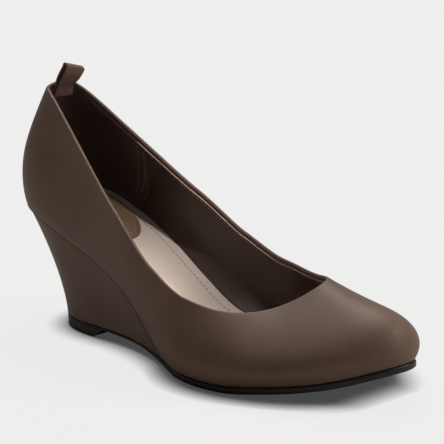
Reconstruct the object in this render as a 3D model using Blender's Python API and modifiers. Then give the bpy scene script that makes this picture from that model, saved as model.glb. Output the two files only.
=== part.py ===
"""A women's wedge pump, right shoe, standing empty on its sole.

Metres, +Z up, +X from the heel to the toe, +Y towards the inner (medial) side of the foot.
The origin is the middle of the shoe's footprint box, on the floor.
"""

import bpy
import numpy as np

# Driving sizes of the last
SHOE_LENGTH = 0.242  # along the floor, from the back of the seat to the toe tip
BALL_WIDTH = 0.082  # across the feather line at the ball
HEEL_RISE = 0.054  # the seat's back above the ball
TOE_SPRING = 0.0145  # the toe tip above the ball
BACK_RISE = 0.0615  # the collar above the seat, at the back seam

# Driving sizes of the materials and of the pieces under the foot
GAP = 0.0003  # between pieces that touch
UPPER_WALL = 0.0018
SOLE_THICKNESS = 0.0029  # at the forefoot
SHANK_THICKNESS = 0.0011  # the same outsole under the wedge
SOLE_MARGIN = 0.0008  # how far the outsole stands out past the feather line
TOP_PIECE_HEIGHT = 0.0036
TOP_PIECE_LENGTH = 0.034
TOP_PIECE_BEVEL = 0.0075  # run of its slanted front end
BALL_PLACE = 0.65  # share of SHOE_LENGTH from the heel to the ball
INSOLE_THICKNESS = 0.0024
INSOLE_CLEARANCE = 0.0006  # from the inside of the upper
HEEL_PAD_THICKNESS = 0.0009
HEEL_PAD_LENGTH = 0.0555
HEEL_PAD_MARGIN = 0.0055  # insole left bare round the pad
HEEL_PAD_SHOULDER = 0.55  # share of its length at which it starts to narrow
HEEL_PAD_MIDDLE = 0.01  # its front end's place across the shoe, a share of BALL_WIDTH
WEDGE_FRONT = 0.57  # share of SHOE_LENGTH at which the wedge has thinned to its edge
WEDGE_SETBACK = 0.0265  # how far the wedge's foot lies ahead of the seat, at the back
WEDGE_NARROWING = 0.13  # how much narrower than the seat it is there
WEDGE_CURVE = 1.6  # above 1, its walls draw in fast below the seat and stand steep at the floor
LOOP_WIDTH = 0.0134
LOOP_TAPE = 0.0011
LOOP_RISE = 0.0120  # above the collar, on its higher edge
LOOP_DROP = 0.0025  # how much lower its other edge is
LOOP_TUCK = 0.0050  # sewn length below the collar
LOOP_MIDDLE = 0.0007  # from the back seam toward the inner side
LOOP_OPENING = 0.0026
LOOP_AHEAD = 0.0040  # how far its top leans forward
LOOP_ASIDE = 0.0025  # and inward

# Side profile of the shoe's underside, one row for each tenth of the length.
# seat is a share of HEEL_RISE, arch of the top piece's height, spring of TOE_SPRING.
PROFILE = (
    # seat, arch, spring
    (1.000, 1.00, 0.00),
    (0.935, 1.00, 0.00),
    (0.810, 1.15, 0.00),
    (0.655, 1.25, 0.00),
    (0.430, 1.10, 0.00),
    (0.140, 0.50, 0.00),
    (0.000, 0.00, 0.00),
    (0.000, 0.00, 0.00),
    (0.000, 0.00, 0.18),
    (0.000, 0.00, 0.50),
    (0.000, 0.00, 1.00),
)

# Ribs of the last, from the back seam round the outer side, the toe and the inner side.
# along and top_along are shares of SHOE_LENGTH, side and top_side of half BALL_WIDTH, rise of BACK_RISE.
# low, middle and high are how far the rib bows out from its chord, as shares of BALL_WIDTH.
RIBS = (
    # name, along, side, top_along, top_side, rise, low, middle, high
    ("back seam", 0.016, 0.00, 0.075, 0.00, 0.955, 0.028, 0.092, 0.050),
    ("outer heel corner", 0.042, -0.40, 0.083, -0.22, 0.942, 0.030, 0.098, 0.052),
    ("outer heel side", 0.133, -0.655, 0.160, -0.44, 0.920, 0.030, 0.078, 0.040),
    ("outer waist", 0.308, -0.68, 0.315, -0.71, 0.730, 0.028, 0.055, 0.028),
    ("outer front waist", 0.480, -0.78, 0.448, -0.845, 0.627, 0.040, 0.066, 0.040),
    ("outer ball", 0.636, -1.00, 0.565, -0.885, 0.588, 0.078, 0.104, 0.052),
    ("outer toes", 0.782, -0.825, 0.672, -0.771, 0.519, 0.114, 0.144, 0.064),
    ("outer toe corner", 0.925, -0.47, 0.746, -0.33, 0.520, 0.138, 0.172, 0.074),
    ("toe tip", 1.000, 0.12, 0.780, 0.13, 0.620, 0.132, 0.186, 0.066),
    ("inner toe corner", 0.936, 0.57, 0.746, 0.42, 0.637, 0.118, 0.168, 0.056),
    ("inner toes", 0.818, 0.88, 0.674, 0.57, 0.614, 0.112, 0.142, 0.060),
    ("inner ball", 0.664, 0.98, 0.586, 0.63, 0.644, 0.076, 0.104, 0.050),
    ("inner front waist", 0.495, 0.56, 0.468, 0.56, 0.664, 0.040, 0.076, 0.038),
    ("inner waist", 0.332, 0.515, 0.331, 0.37, 0.703, 0.028, 0.078, 0.038),
    ("inner heel side", 0.141, 0.61, 0.160, 0.26, 0.852, 0.028, 0.076, 0.036),
    ("inner heel corner", 0.042, 0.41, 0.083, 0.16, 0.945, 0.028, 0.092, 0.046),
)
BOW_SHARES = (0.06, 0.35, 0.68)  # where along its chord a rib bows by low, middle and high

COLUMNS = 96  # around the last
FINE = 960  # points of an outline before it is sliced
WALL_ROWS = 12  # up the upper's wall

TAUPE = (0.105, 0.078, 0.062, 1.0)
BLACK = (0.012, 0.012, 0.013, 1.0)
BEIGE = (0.62, 0.50, 0.42, 1.0)
BROWN = (0.085, 0.055, 0.036, 1.0)


def steady_curve(values, at):
    """Smooth curve through values at 0, 1, 2 and so on that never swings past them."""
    values = np.asarray(values, float)
    last = len(values) - 1
    rise = np.diff(values)
    product = np.clip(rise[:-1] * rise[1:], 0, None)
    total = np.where(product > 0, rise[:-1] + rise[1:], 1.0)
    slope = np.concatenate([rise[:1], 2 * product / total, rise[-1:]])
    at = np.clip(at, 0, last)
    left = np.minimum(at.astype(int), last - 1)
    t = at - left
    start = values[left] * (1 + 2 * t) * (1 - t) ** 2 + slope[left] * t * (1 - t) ** 2
    end = values[left + 1] * (3 - 2 * t) * t**2 - slope[left + 1] * (1 - t) * t**2
    return start + end


def closed_spline(values, at):
    """Smooth closed curve through the rows of values at 0, 1, 2 and so on, read at the places in at."""
    values = np.asarray(values, float)
    count = len(values)
    ring = np.eye(count)
    system = 4 * ring + np.roll(ring, 1, 0) + np.roll(ring, -1, 0)
    bend = np.linalg.solve(system, 6 * (np.roll(values, 1, 0) - 2 * values + np.roll(values, -1, 0)))
    at = np.mod(at, count)
    left = at.astype(int) % count
    right = (left + 1) % count
    t = (at - left)[:, None]
    s = 1 - t
    straight = s * values[left] + t * values[right]
    return straight + ((s**3 - s) * bend[left] + (t**3 - t) * bend[right]) / 6


def profile(column, x):
    """One column of PROFILE at the distance x from the heel."""
    tenths = np.asarray(x, float) / SHOE_LENGTH * (len(PROFILE) - 1)
    return steady_curve([row[column] for row in PROFILE], tenths)


def footbed(x):
    """Height of the last's underside: the insole lies on it and the upper stands on it."""
    ball = SOLE_THICKNESS + GAP
    return ball + profile(0, x) * HEEL_RISE + profile(2, x) * TOE_SPRING


def tread(x):
    """Height of the outsole's underside."""
    return profile(1, x) * (TOP_PIECE_HEIGHT + GAP) + profile(2, x) * TOE_SPRING


def sole_thickness(x):
    """Thin under the wedge, growing to its full thickness where the arch comes down."""
    share = 1 - np.clip(profile(1, x), 0, 1)
    return SHANK_THICKNESS + (SOLE_THICKNESS - SHANK_THICKNESS) * share


def rib_columns():
    """The ribs' columns in metres: feather x and y, topline x and y, rise and the three bows."""
    half = BALL_WIDTH / 2
    sizes = (SHOE_LENGTH, half, SHOE_LENGTH, half, BACK_RISE, BALL_WIDTH, BALL_WIDTH, BALL_WIDTH)
    return np.array([[share * size for share, size in zip(row[1:], sizes)] for row in RIBS])


def around(count=COLUMNS):
    """Places of the columns, counted in ribs from the back seam."""
    return np.arange(count) * len(RIBS) / count


def outward(at):
    """Plan normal of the feather line, pointing out of the shoe."""
    step = 0.01
    run = closed_spline(rib_columns(), at + step)[:, :2] - closed_spline(rib_columns(), at - step)[:, :2]
    normal = np.stack([run[:, 1], -run[:, 0], np.zeros(len(run))], 1)
    return normal / np.linalg.norm(normal, axis=1, keepdims=True)


def feather_line(at, inset=0.0):
    """The line where the upper meets what is under it, moved in by inset."""
    ribs = closed_spline(rib_columns(), at)
    flat = np.stack([ribs[:, 0], ribs[:, 1], np.zeros(len(ribs))], 1)
    return flat - outward(at) * np.reshape(inset, (-1, 1))


def topline(at):
    ribs = closed_spline(rib_columns(), at)
    return np.stack([ribs[:, 2], ribs[:, 3], footbed(ribs[:, 2]) + ribs[:, 4]], 1)


def clamped_curve(controls, t):
    """Cubic B-spline with two spans through five control rows, read at t from 0 to 1."""
    c0, c1, c2, c3, c4 = controls
    if t < 0.5:
        s = 2 * t
        spans = (c0, c1, (c1 + c2) / 2, (c1 + 2 * c2 + c3) / 4)
    else:
        s = 2 * t - 1
        spans = ((c1 + 2 * c2 + c3) / 4, (c2 + c3) / 2, c3, c4)
    weights = ((1 - s) ** 3, 3 * s * (1 - s) ** 2, 3 * s**2 * (1 - s), s**3)
    return sum(weight * point for weight, point in zip(weights, spans))


def upper_surface(at, shares):
    """Rows of points on the outside of the upper, one row for each share of the way up."""
    ribs = closed_spline(rib_columns(), at)
    foot = feather_line(at)
    foot[:, 2] = footbed(foot[:, 0])
    chord = topline(at) - foot
    along = chord / np.linalg.norm(chord, axis=1, keepdims=True)
    out = outward(at)
    bow = out - along * np.sum(out * along, axis=1, keepdims=True)
    bow /= np.linalg.norm(bow, axis=1, keepdims=True)
    controls = [foot]
    for place, share in enumerate(BOW_SHARES):
        controls.append(foot + chord * share + bow * ribs[:, 5 + place : 6 + place])
    controls.append(foot + chord)
    return [clamped_curve(controls, share) for share in shares]


def material(name, colour, roughness):
    made = bpy.data.materials.new(name)
    made.use_nodes = True
    shader = made.node_tree.nodes["Principled BSDF"]
    shader.inputs["Base Color"].default_value = colour
    shader.inputs["Roughness"].default_value = roughness
    shader.inputs["Metallic"].default_value = 0.0
    made.diffuse_color = colour
    return made


def add_object(name, points, faces, finish, frame, collection):
    mesh = bpy.data.meshes.new(name)
    mesh.from_pydata([tuple(point) for point in points], [], faces)
    mesh.validate()
    mesh.materials.append(finish)
    mesh.shade_smooth()
    mesh.set_sharp_from_angle(angle=np.radians(40))
    made = bpy.data.objects.new(name, mesh)
    made.parent = frame
    collection.objects.link(made)
    return made


def ring_faces(first, second, count):
    """Quads between two closed rings of points."""
    faces = []
    for i in range(count):
        j = (i + 1) % count
        faces.append((first + i, first + j, second + j, second + i))
    return faces


def ladder_faces(start, count, facing_up):
    """Closes a ring by joining each point of its outer half to the one across from it."""
    faces = [(start, start + 1, start + count - 1)]
    for i in range(1, (count - 1) // 2):
        faces.append((start + i, start + i + 1, start + count - i - 1, start + count - i))
    if count % 2 == 0:
        middle = start + count // 2
        faces.append((middle - 1, middle, middle + 1))
    return faces if facing_up else [face[::-1] for face in faces]


def stack(name, levels, finish, frame, collection):
    """A closed solid through a stack of rings, lowest first, whose points pair off across the shoe."""
    count = len(levels[0])
    faces = ladder_faces(0, count, False)
    for level in range(len(levels) - 1):
        faces += ring_faces(level * count, (level + 1) * count, count)
    faces += ladder_faces((len(levels) - 1) * count, count, True)
    return add_object(name, np.vstack(levels), faces, finish, frame, collection)


def at_height(ring, heights):
    lifted = ring.copy()
    lifted[:, 2] = heights
    return lifted


def slices(line, front=None, steps=36):
    """A ring through the closed line at matching distances from the heel on both its sides.

    It runs from the back along the outer side and returns along the inner side, and is cut
    straight across at front, where that is given.
    """
    line = np.roll(line, -np.argmin(line[:, 0]), 0)
    tip = np.argmax(line[:, 0])
    back = line[0, 0]
    if front is None:
        x = back + (line[tip, 0] - back) * (1 - np.cos(np.linspace(0, np.pi, steps + 1))) / 2
    else:
        x = back + (front - back) * (1 - np.cos(np.linspace(0, np.pi / 2, steps + 1)))
    inner_line = np.vstack([line[tip:], line[:1]])[::-1]
    outer = np.interp(x, line[: tip + 1, 0], line[: tip + 1, 1])
    inner = np.interp(x, inner_line[:, 0], inner_line[:, 1])
    back_from = steps - 1 if front is None else steps
    x = np.concatenate([x, x[back_from:0:-1]])
    y = np.concatenate([outer, inner[back_from:0:-1]])
    return np.stack([x, y, np.zeros(len(x))], 1)


def base_outline(line):
    """The wedge's foot: the feather line moved forward and narrowed where the wedge is tall."""
    back = line[0, 0]
    share = np.clip(1 - (line[:, 0] - back) / (WEDGE_FRONT * SHOE_LENGTH - back), 0, 1)
    base = line.copy()
    base[:, 0] += WEDGE_SETBACK * share**1.5
    height = footbed(base[:, 0]) - footbed(BALL_PLACE * SHOE_LENGTH)
    base[:, 1] *= 1 - WEDGE_NARROWING * height / HEEL_RISE * (share > 0)
    return base


def make_upper(finish, frame, collection):
    at = around()
    shares = np.linspace(0, 1, WALL_ROWS + 1) ** 0.9
    rows = upper_surface(at, shares)
    faces = []
    for row in range(WALL_ROWS):
        faces += ring_faces(row * COLUMNS, (row + 1) * COLUMNS, COLUMNS)
    upper = add_object("upper", np.vstack(rows), faces, finish, frame, collection)
    wall = upper.modifiers.new("wall", "SOLIDIFY")
    wall.thickness = UPPER_WALL
    wall.offset = -1
    wall.use_even_offset = True
    return upper


def make_wedge(finish, frame, collection):
    foot = feather_line(around(FINE))
    base = base_outline(foot)
    levels = []
    for share in np.linspace(0, 1, 9):
        line = base + (foot - base) * share**WEDGE_CURVE
        ring = slices(line, WEDGE_FRONT * SHOE_LENGTH)
        under = tread(ring[:, 0]) + sole_thickness(ring[:, 0]) + GAP
        top = footbed(ring[:, 0]) - GAP
        levels.append(at_height(ring, under * (1 - share) + top * share))
    return stack("wedge", levels, finish, frame, collection)


def sole_outline():
    """The outsole follows the wedge's foot at the back and stands proud of the feather line in front."""
    base = base_outline(feather_line(around(FINE)))
    front = 1 - np.clip(profile(1, base[:, 0]), 0, 1)
    return base + outward(around(FINE)) * (SOLE_MARGIN * front)[:, None]


def make_outsole(finish, frame, collection):
    ring = slices(sole_outline(), steps=48)
    step = WEDGE_FRONT * SHOE_LENGTH + GAP
    nearest = np.abs(ring[:, 0] - step) == np.abs(ring[:, 0] - step).min()
    ring[nearest, 0] = step
    under = tread(ring[:, 0])
    top = under + sole_thickness(ring[:, 0])
    top = np.where(ring[:, 0] > step, footbed(ring[:, 0]) - GAP, top)
    return stack("outsole", [at_height(ring, under), at_height(ring, top)], finish, frame, collection)


def make_top_piece(finish, frame, collection):
    line = base_outline(feather_line(around(FINE)))
    back = line[:, 0].min()
    under = slices(line, back + TOP_PIECE_LENGTH, 18)
    over = slices(line, back + TOP_PIECE_LENGTH + TOP_PIECE_BEVEL, 18)
    levels = [at_height(under, 0.0), at_height(over, tread(over[:, 0]) - GAP)]
    return stack("top_piece", levels, finish, frame, collection)


def make_insole(finish, frame, collection):
    ring = slices(feather_line(around(FINE), UPPER_WALL + INSOLE_CLEARANCE))
    floor = footbed(ring[:, 0])
    levels = [at_height(ring, floor), at_height(ring, floor + INSOLE_THICKNESS)]
    return stack("insole", levels, finish, frame, collection)


def make_heel_pad(finish, frame, collection):
    ring = heel_pad_outline()
    floor = footbed(ring[:, 0]) + INSOLE_THICKNESS + GAP
    levels = [at_height(ring, floor), at_height(ring, floor + HEEL_PAD_THICKNESS)]
    return stack("heel_pad", levels, finish, frame, collection)


def heel_pad_outline():
    """Follows the seat at the back and narrows to a round front end."""
    line = feather_line(around(FINE), UPPER_WALL + INSOLE_CLEARANCE + HEEL_PAD_MARGIN)
    back = line[:, 0].min()
    share = np.clip((line[:, 0] - back) / HEEL_PAD_LENGTH, 0, 1)
    narrow = np.sqrt(1 - np.clip((share - HEEL_PAD_SHOULDER) / (1 - HEEL_PAD_SHOULDER), 0, 1) ** 2)
    middle = HEEL_PAD_MIDDLE * BALL_WIDTH
    line[:, 1] = middle + (line[:, 1] - middle) * narrow
    line[:, 0] = np.minimum(line[:, 0], back + HEEL_PAD_LENGTH)
    return slices(line, steps=24)


def make_pull_loop(finish, frame, collection):
    """A tape folded over into a loop, sewn inside the back of the collar."""
    places = np.linspace(-2, 2, 401)
    across = topline(places)[:, 1]
    order = np.argsort(across)
    sides = (LOOP_MIDDLE - LOOP_WIDTH / 2, LOOP_MIDDLE + LOOP_WIDTH / 2)
    ends = np.interp(sides, across[order], places[order])
    edges = [loop_edge(place, rise) for place, rise in zip(ends, (LOOP_RISE, LOOP_RISE - LOOP_DROP))]
    count = len(edges[0])
    faces = [(i, i + 1, count + i + 1, count + i) for i in range(count - 1)]
    loop = add_object("pull_loop", np.vstack(edges), faces, finish, frame, collection)
    tape = loop.modifiers.new("tape", "SOLIDIFY")
    tape.thickness = LOOP_TAPE
    tape.offset = 0
    return loop


def loop_edge(place, rise):
    """One edge of the tape: up from inside the collar, over the top and down in front of itself."""
    low, high = [row[0] for row in upper_surface(np.array([place]), (0.90, 1.0))]
    wall = (high - low) / np.linalg.norm(high - low)
    beside = topline(np.array([place - 0.05, place + 0.05]))
    inward = np.cross(wall, beside[1] - beside[0])
    inward /= np.linalg.norm(inward)
    inward *= np.sign(inward[0])
    start = high + inward * (UPPER_WALL + 2 * GAP + LOOP_TAPE / 2)
    ahead = np.array([1.0, 0.0, 0.0])
    up = np.array([0.0, 0.0, 1.0])
    reach = LOOP_OPENING / 2
    lean = np.array([LOOP_AHEAD, LOOP_ASIDE, rise - LOOP_TAPE / 2])
    crown = start + lean + ahead * reach
    points = [start - wall * LOOP_TUCK, start - wall * LOOP_TUCK / 2, start]
    points.append(start + lean * 0.4 - ahead * 0.3 * reach)
    for turn in np.radians((180, 150, 120, 90, 60, 30, 0)):
        points.append(crown + reach * (ahead * np.cos(turn) + up * (np.sin(turn) - 1)))
    front = inward * (LOOP_TAPE + GAP)
    points.append(start + lean * 0.6 + ahead * 2.6 * reach)
    points += [start + lean * 0.3 + ahead * 1.9 * reach, start + front]
    points.append(start - wall * LOOP_TUCK / 2 + front)
    points.append(start - wall * LOOP_TUCK + front)
    return np.array(points)


def footprint_middle(objects):
    """Middle of the box round every piece, on the floor."""
    graph = bpy.context.evaluated_depsgraph_get()
    corners = []
    for piece in objects:
        mesh = piece.evaluated_get(graph).to_mesh()
        corners += [piece.matrix_world @ vertex.co for vertex in mesh.vertices]
        piece.evaluated_get(graph).to_mesh_clear()
    points = np.array(corners)
    return (points.min(0) + points.max(0)) / 2


def main():
    for old in list(bpy.data.objects):
        bpy.data.objects.remove(old)
    collection = bpy.data.collections.new("wedge_pump")
    bpy.context.scene.collection.children.link(collection)
    frame = bpy.data.objects.new("shoe_frame", None)
    collection.objects.link(frame)
    leather = material("taupe_leather", TAUPE, 0.45)
    rubber = material("black_rubber", BLACK, 0.55)
    sock = material("beige_sock", BEIGE, 0.7)
    pad = material("brown_pad", BROWN, 0.5)
    pieces = [
        make_upper(leather, frame, collection),
        make_wedge(leather, frame, collection),
        make_outsole(rubber, frame, collection),
        make_top_piece(rubber, frame, collection),
        make_insole(sock, frame, collection),
        make_heel_pad(pad, frame, collection),
        make_pull_loop(leather, frame, collection),
    ]
    bpy.context.view_layer.update()
    middle = footprint_middle(pieces)
    frame.location = (-middle[0], -middle[1], 0.0)
    bpy.context.view_layer.update()


main()
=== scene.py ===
"""Looks of a women's wedge pump, right shoe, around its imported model.

Metres. The shoe's own places are measured from the back of the seat, and shoe_place moves them
into the frame. Its wall is read by places round the last, counted in ribs from the back seam, and
by the share of the way up from the feather line, where the upper meets the wedge, to the topline.
"""

import math

import bpy
import numpy as np
from mathutils import Matrix, Vector


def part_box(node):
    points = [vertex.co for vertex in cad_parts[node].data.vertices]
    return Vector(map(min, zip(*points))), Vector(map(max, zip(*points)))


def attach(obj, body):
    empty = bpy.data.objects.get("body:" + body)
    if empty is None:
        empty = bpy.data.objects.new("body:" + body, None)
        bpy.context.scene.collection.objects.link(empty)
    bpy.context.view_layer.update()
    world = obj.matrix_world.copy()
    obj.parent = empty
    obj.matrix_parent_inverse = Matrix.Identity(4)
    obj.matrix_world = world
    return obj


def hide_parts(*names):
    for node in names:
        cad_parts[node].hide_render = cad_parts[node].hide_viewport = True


# Driving sizes of the last, as in the part's source
SHOE_LENGTH = 0.242
BALL_WIDTH = 0.082
HEEL_RISE = 0.054
TOE_SPRING = 0.0145
BACK_RISE = 0.0615
BALL_PLACE = 0.65

# Sizes of the materials
GAP = 0.0003
UPPER_WALL = 0.0018
SOLE_THICKNESS = 0.0029
SHANK_THICKNESS = 0.0011
SOLE_MARGIN = 0.0008
TOP_PIECE_HEIGHT = 0.0036
TOP_PIECE_LENGTH = 0.034
TOP_PIECE_BEVEL = 0.0075
INSOLE_THICKNESS = 0.0024
INSOLE_CLEARANCE = 0.0006
HEEL_PAD_LENGTH = 0.0555
HEEL_PAD_MARGIN = 0.0055
HEEL_PAD_SHOULDER = 0.55
HEEL_PAD_MIDDLE = 0.01
WEDGE_FRONT = 0.57
WEDGE_SETBACK = 0.0265
WEDGE_NARROWING = 0.13
WEDGE_CURVE = 1.6
SETBACK_CURVE = 1.5
LOOP_WIDTH = 0.0134
LOOP_TAPE = 0.0011
LOOP_RISE = 0.0120
LOOP_DROP = 0.0025
LOOP_TUCK = 0.0050
LOOP_MIDDLE = 0.0007  # from the back seam toward the inner side
LOOP_OPENING = 0.0026
LOOP_AHEAD = 0.0040
LOOP_ASIDE = 0.0025

# Sizes of the sewn work
FOLD_INSIDE = 0.0045  # how far the outer leather is folded down inside the collar
LINING_DROP = 0.0023  # the lining's raw edge below the topline
LINING_DEPTH = 0.0021  # its face below the outer face of the upper
LINING_FILLET = 0.015  # height over which it swings in to the sock at its foot
LINING_OVERLAP = 0.0006  # how far it stands over the sock's rim there
EDGE_START = 2.55  # rib from which the lining's pale raw edge shows, on both sides
COUNTER_END = 2.66  # rib at which the heel's own lining ends at the topline, on both sides
COUNTER_LEAN = 0.12  # share of that by which its end runs back on the way down
COUNTER_SHEET = 0.0005
SEAM_ROUND = 0.0006  # rounding of the upper's foot at the seam
SEAM_STEP = 0.0006  # how far the wedge stands back from it behind
SEAM_LIP = 0.0003  # how far its leather stands proud of the upper in front
SEAM_DEPTH = 0.0035  # how far the wedge's flat top lies inside the upper's foot
# The dark seam is a near-black bead of painted shade, standing for the shadow in the groove
# between wedge and upper.
SEAM_LINE = (0.00024, 0.00042)  # half the width of the dark seam, behind and in front
SEAM_LINE_RISES = (0.0004, 0.0048)  # rises of the seam between which it widens
SEAM_LINE_PLACE = (0.8, 0.3)  # how far up and in the dark line's middle lies, in its radii
SEAM_PROUD = 0.0029  # rise of the seam from which the wedge's leather stands fully proud
# Places from the back seam, in ribs, and how far up the wall the wedge's leather reaches there
SEAM_RIBS = (2.60, 3.00, 3.40, 3.60, 3.80, 3.95, 4.15, 4.30, 4.40, 4.47, 4.52)
SEAM_RISES = (0.0004, 0.0009, 0.0016, 0.0029, 0.0048, 0.0055, 0.0061, 0.0061, 0.0042, 0.0018, 0.0)
SEAM_SKEW = 1.04  # how much sooner, in ribs, the inner side comes to each of them
LASTING_MARGIN = 0.0050  # how far the upper is turned in under the sock
UPPER_INSIDE = 0.75  # share of the wall at which the outer leather's hidden face lies
FOLD_STEP = 0.0006  # height over which the folded leather thins out to that face
LINING_AHEAD = 0.0003  # how far the lining's face stands in from LINING_DEPTH
LINING_BEHIND = 0.0002  # how far its hidden face lies out from there
LINING_START = 0.02  # share of the wall's height at which its own rows begin
LINING_HEM = 0.0012  # height of its foot over the footbed
LINING_EDGE_ROUND = 0.0002
LINING_BEAD = 0.00032  # radius of its pale raw edge
COUNTER_DEPTH = LINING_DEPTH + 0.0002
COUNTER_BEAD = 0.0002  # radius of the edge that binds the heel's own lining
COUNTER_BEAD_RISE = 0.0005  # how far that edge lies above the lining's
BEAD_SIDES = 8
SOCK_ROUND = 0.0004
SHARP_ANGLE = 50  # degrees, past which an edge of a solid isn't smoothed

# Rows of stitches: pitch, length and radius of their threads
TOPLINE_STITCH = (0.0026, 0.0019, 0.00013)
COUNTER_STITCH = (0.0026, 0.0015, 0.00024)
SOCK_STITCH = (0.0025, 0.0019, 0.00017)
PAD_STITCH = (0.0027, 0.0019, 0.0002)
TOPLINE_ROW_DROP = 0.0013  # below the lining's edge
TOPLINE_ROW_END = 0.35  # in ribs from the back seam, where the loop is sewn in
COUNTER_ROWS = (0.03, 0.12)  # in ribs behind the end of the heel's lining
COUNTER_ROW_DROP = 0.002  # from the lining's edge to the rows' upper end
COUNTER_ROW_FOOT = 0.007  # from the foot of the wall to their lower end
SOCK_ROW_MARGIN = 0.0058
PAD_ROW_MARGIN = 0.0026

# One thread from end to end
THREAD = (
    # share of its length, girth and how far it stands out, both in radii
    (0.00, 0.25, -0.80),
    (0.12, 0.85, 0.10),
    (0.50, 1.00, 0.45),
    (0.88, 0.85, 0.10),
    (1.00, 0.25, -0.80),
)
THREAD_SIDES = 6

# Edges of the solid pieces: how far up, as a share of the height or on the pad in metres, and
# how far in the edge is there
WEDGE_FOOT = ((0.0, 0.0006), (0.006, 0.0002))
SOLE_EDGE = ((0.0, 0.0006), (0.06, 0.0002), (0.18, 0.0), (0.85, 0.0), (0.96, 0.0002),
             (1.0, 0.0005))
LIFT_EDGE = ((0.0, 0.0005), (0.06, 0.0002), (0.16, 0.0), (0.9, 0.0), (1.0, 0.0002))
PAD_EDGE = ((0.0, 0.0), (0.0003, 0.0), (0.0006, 0.0002), (0.0009, 0.0007), (0.0010, 0.0012))

# Side profile of the shoe's underside, one row for each tenth of the length:
# seat is a share of HEEL_RISE, arch of the top piece's height, spring of TOE_SPRING.
PROFILE = (
    # seat, arch, spring
    (1.000, 1.00, 0.00),
    (0.935, 1.00, 0.00),
    (0.810, 1.15, 0.00),
    (0.655, 1.25, 0.00),
    (0.430, 1.10, 0.00),
    (0.140, 0.50, 0.00),
    (0.000, 0.00, 0.00),
    (0.000, 0.00, 0.00),
    (0.000, 0.00, 0.18),
    (0.000, 0.00, 0.50),
    (0.000, 0.00, 1.00),
)

# Ribs of the last, from the back seam round the outer side, the toe and the inner side.
# along and top_along are shares of SHOE_LENGTH, side and top_side of half BALL_WIDTH, rise of
# BACK_RISE. low, middle and high are how far the rib bows out from its chord, as shares of
# BALL_WIDTH, at BOW_SHARES of the way up it.
RIBS = (
    # name, along, side, top_along, top_side, rise, low, middle, high
    ("back seam", 0.016, 0.00, 0.075, 0.00, 0.955, 0.028, 0.092, 0.050),
    ("outer heel corner", 0.042, -0.40, 0.083, -0.22, 0.942, 0.030, 0.098, 0.052),
    ("outer heel side", 0.133, -0.655, 0.160, -0.44, 0.920, 0.030, 0.078, 0.040),
    ("outer waist", 0.308, -0.68, 0.315, -0.71, 0.730, 0.028, 0.055, 0.028),
    ("outer front waist", 0.480, -0.78, 0.448, -0.845, 0.627, 0.040, 0.066, 0.040),
    ("outer ball", 0.636, -1.00, 0.565, -0.885, 0.588, 0.078, 0.104, 0.052),
    ("outer toes", 0.782, -0.825, 0.672, -0.771, 0.519, 0.114, 0.144, 0.064),
    ("outer toe corner", 0.925, -0.47, 0.746, -0.33, 0.520, 0.138, 0.172, 0.074),
    ("toe tip", 1.000, 0.12, 0.780, 0.13, 0.620, 0.132, 0.186, 0.066),
    ("inner toe corner", 0.936, 0.57, 0.746, 0.42, 0.637, 0.118, 0.168, 0.056),
    ("inner toes", 0.818, 0.88, 0.674, 0.57, 0.614, 0.112, 0.142, 0.060),
    ("inner ball", 0.664, 0.98, 0.586, 0.63, 0.644, 0.076, 0.104, 0.050),
    ("inner front waist", 0.495, 0.56, 0.468, 0.56, 0.664, 0.040, 0.076, 0.038),
    ("inner waist", 0.332, 0.515, 0.331, 0.37, 0.703, 0.028, 0.078, 0.038),
    ("inner heel side", 0.141, 0.61, 0.160, 0.26, 0.852, 0.028, 0.076, 0.036),
    ("inner heel corner", 0.042, 0.41, 0.083, 0.16, 0.945, 0.028, 0.092, 0.046),
)
BOW_SHARES = (0.06, 0.35, 0.68)
COUNT = len(RIBS)
COLUMNS = 320  # places round the last that the upper's pieces are cut at
FINE = 960  # and those that outlines are read at

# Camera, in degrees and metres, with its lens and sensor in millimetres
CAMERA_AZIMUTH = 48.6
CAMERA_ELEVATION = 15.6
CAMERA_ROLL = -2.4
CAMERA_DISTANCE = 1.337
CAMERA_TARGET = (0.1316, 0.0, 0.0630)
CAMERA_LENS = 238.2
CAMERA_SENSOR = 36.0

# Lights. The panels are square and face the shoe. The beam lights the sock through the collar.
NEUTRAL = (1.0, 0.98, 0.96)
WARM = (1.0, 0.94, 0.88)
WARMER = (1.0, 0.93, 0.86)
PANELS = (
    # name, place, power in watts, side, colour
    ("overhead_panel", (0.45, 0.60, 2.1), 4.0, 1.5, WARM),
    ("back_panel", (-0.80, 0.80, 1.7), 26.0, 1.0, WARMER),
    ("far_panel", (1.6, 0.9, 0.7), 8.0, 0.8, NEUTRAL),
    ("toe_panel", (1.3, 0.2, 1.5), 1.2, 0.8, NEUTRAL),
    ("toe_glint", (0.93, 1.48, 1.52), 14.0, 0.045, NEUTRAL),
    ("side_glint", (-0.75, -0.30, 1.45), 0.3, 0.05, NEUTRAL),
)
PANEL_AIM = (0.05, 0, 0.03)
BEAM_PLACE = (0.10, -0.12, 1.25)
BEAM_AIM = (-0.035, 0, 0.05)
BEAM_POWER = 30.0
BEAM_ANGLE = 6.6  # degrees
BEAM_SOFTNESS = 0.04
SKY_COLOUR = (1.0, 0.96, 0.92, 1.0)
SKY_STRENGTH = 0.126

# Floor
FLOOR_REACH = 6.0
FLOOR_DROP = 0.0001  # below the sole
FLOOR_SEEN = (0.06, 0.06, 0.06, 1.0)  # takes up the cast shadows
FLOOR_BOUNCE = (0.60, 0.57, 0.55, 1.0)  # what the shoe gets back from it
# Near the shoe the glow falls to its low value as painted shadow, by an occlusion test over
# CONTACT_REACH.
FLOOR_GLOW = (0.06, 0.80)  # paper white in the tightest gap and in the open
FLOOR_OPEN_FROM = 0.40
CONTACT_REACH = 0.012

UP = np.array([0.0, 0.0, 1.0])
AHEAD = np.array([1.0, 0.0, 0.0])


# Curves of the last

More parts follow.
